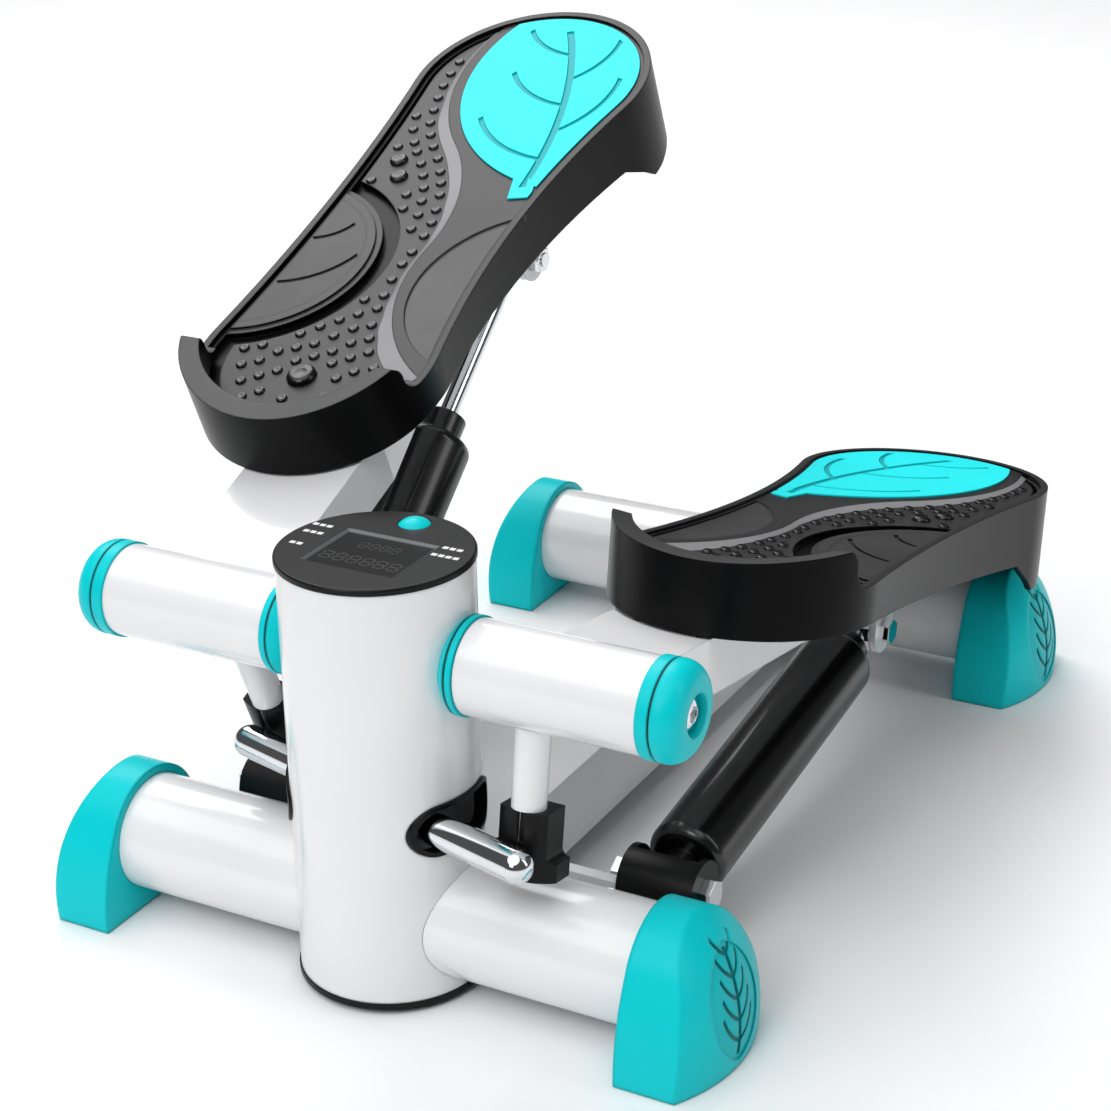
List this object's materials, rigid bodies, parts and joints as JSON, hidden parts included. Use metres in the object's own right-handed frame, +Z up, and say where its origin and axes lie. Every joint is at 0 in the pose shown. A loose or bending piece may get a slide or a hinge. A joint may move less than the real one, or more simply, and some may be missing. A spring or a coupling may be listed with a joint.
{
  "type": "mini stepper",
  "caption": "Compact stepping machine: foot-shaped pedals on arms hinged to an upright column, linked by a rocker bar and slowed by hydraulic dampers, on a cross-tube frame with end feet",
  "frame": {"origin": "on the floor, at the middle of the overall box", "axes": "X to the right, Y to the rear along the pedals, Z up; the column stands at the front"},
  "size_m": [0.316, 0.4449, 0.3199],
  "materials": {
    "frame_white": "gloss",
    "teal_plastic": "satin",
    "leaf_teal": "matte",
    "pedal_black": "satin",
    "black_plastic": "matte",
    "damper_black": "gloss",
    "chrome": "polished",
    "steel": "satin",
    "bush": "matte",
    "window": "gloss",
    "display": "matte",
    "board": "satin"
  },
  "bodies": {
    "base": {"front_cross_tube": "frame_white", "rear_cross_tube": "frame_white", "spine_beam": "frame_white", "column_tube": "frame_white", "column_base_cap": "black_plastic", "foot_front_left": "teal_plastic", "foot_front_right": "teal_plastic", "foot_rear_left": "teal_plastic", "foot_rear_right": "teal_plastic", "strut_plates": "frame_white", "damper_bracket_left": "black_plastic", "damper_bracket_right": "black_plastic", "lower_bolts": "chrome", "pivot_axle": "steel", "axle_bolts": "chrome", "sleeve_collar_left": "teal_plastic", "sleeve_collar_right": "teal_plastic", "rocker_post": "steel", "rocker_clip": "steel", "slot_grommets": "black_plastic", "stride_sensor": "black_plastic", "monitor_housing": "black_plastic", "display_window": "window", "display_panel": "display", "circuit_board": "board", "coin_cell": "steel"},
    "left_arm": {"sleeve_left": "frame_white", "sleeve_bushes_left": "bush", "outer_cap_left": "teal_plastic", "arm_left": "frame_white", "drive_rod_left": "frame_white", "drive_block_left": "black_plastic", "damper_tab_left": "frame_white", "upper_bolt_left": "chrome", "pedal_left": "pedal_black", "leaf_pad_left": "leaf_teal", "pedal_screws_left": "steel"},
    "right_arm": {"sleeve_right": "frame_white", "sleeve_bushes_right": "bush", "outer_cap_right": "teal_plastic", "arm_right": "frame_white", "drive_rod_right": "frame_white", "drive_block_right": "black_plastic", "damper_tab_right": "frame_white", "upper_bolt_right": "chrome", "pedal_right": "pedal_black", "leaf_pad_right": "leaf_teal", "pedal_screws_right": "steel"},
    "rocker": {"rocker_bar": "chrome", "sensor_magnet": "steel"},
    "left_barrel": {"barrel_left": "damper_black", "gland_left": "damper_black"},
    "left_rod": {"piston_rod_left": "chrome", "piston_left": "steel"},
    "right_barrel": {"barrel_right": "damper_black", "gland_right": "damper_black"},
    "right_rod": {"piston_rod_right": "chrome", "piston_right": "steel"},
    "button": {"mode_button": "teal_plastic"}
  },
  "joints": [
    {"name": "left_pedal", "type": "hinge", "parent": "base", "child": "left_arm", "pos_m": [0, -0.18305, 0.144], "axis": [-1, 0, 0], "range_deg": [0, 32]},
    {"name": "right_pedal", "type": "hinge", "parent": "base", "child": "right_arm", "pos_m": [0, -0.18305, 0.144], "axis": [1, 0, 0], "range_deg": [0, 32]},
    {"name": "rocker_turn", "type": "hinge", "parent": "base", "child": "rocker", "pos_m": [0, -0.19105, 0.079], "axis": [0, 0, 1], "range_deg": [0, 29.62]},
    {"name": "left_damper_swing", "type": "hinge", "parent": "base", "child": "left_barrel", "pos_m": [-0.094, -0.12065, 0.0285], "axis": [-1, 0, 0], "range_deg": [0, 32.18]},
    {"name": "left_damper_stroke", "type": "slide", "parent": "left_barrel", "child": "left_rod", "axis": [0, -0.7533, -0.6577], "range_m": [0, 0.07243]},
    {"name": "right_damper_swing", "type": "hinge", "parent": "base", "child": "right_barrel", "pos_m": [0.094, -0.12065, 0.0285], "axis": [1, 0, 0], "range_deg": [0, 33.9]},
    {"name": "right_damper_stroke", "type": "slide", "parent": "right_barrel", "child": "right_rod", "axis": [0, 0.9902, 0.1396], "range_m": [0, 0.07194]},
    {"name": "mode_press", "type": "slide", "parent": "base", "child": "button", "axis": [0, 0, -1], "range_m": [0, 0.0015], "stiffness_N_per_m": 300, "springref_m": -0.0006}
  ],
  "couplings": [
    {"joint": "right_pedal", "follows": "left_pedal", "ratio": 1},
    {"joint": "rocker_turn", "follows": "left_pedal", "ratio": 0.92548},
    {"joint": "left_damper_swing", "follows": "left_pedal", "ratio": 1.0049},
    {"joint": "left_damper_stroke", "follows": "left_pedal", "m_per_rad": 0.12959},
    {"joint": "right_damper_swing", "follows": "left_pedal", "ratio": 1.0589},
    {"joint": "right_damper_stroke", "follows": "left_pedal", "m_per_rad": 0.12871}
  ]
}
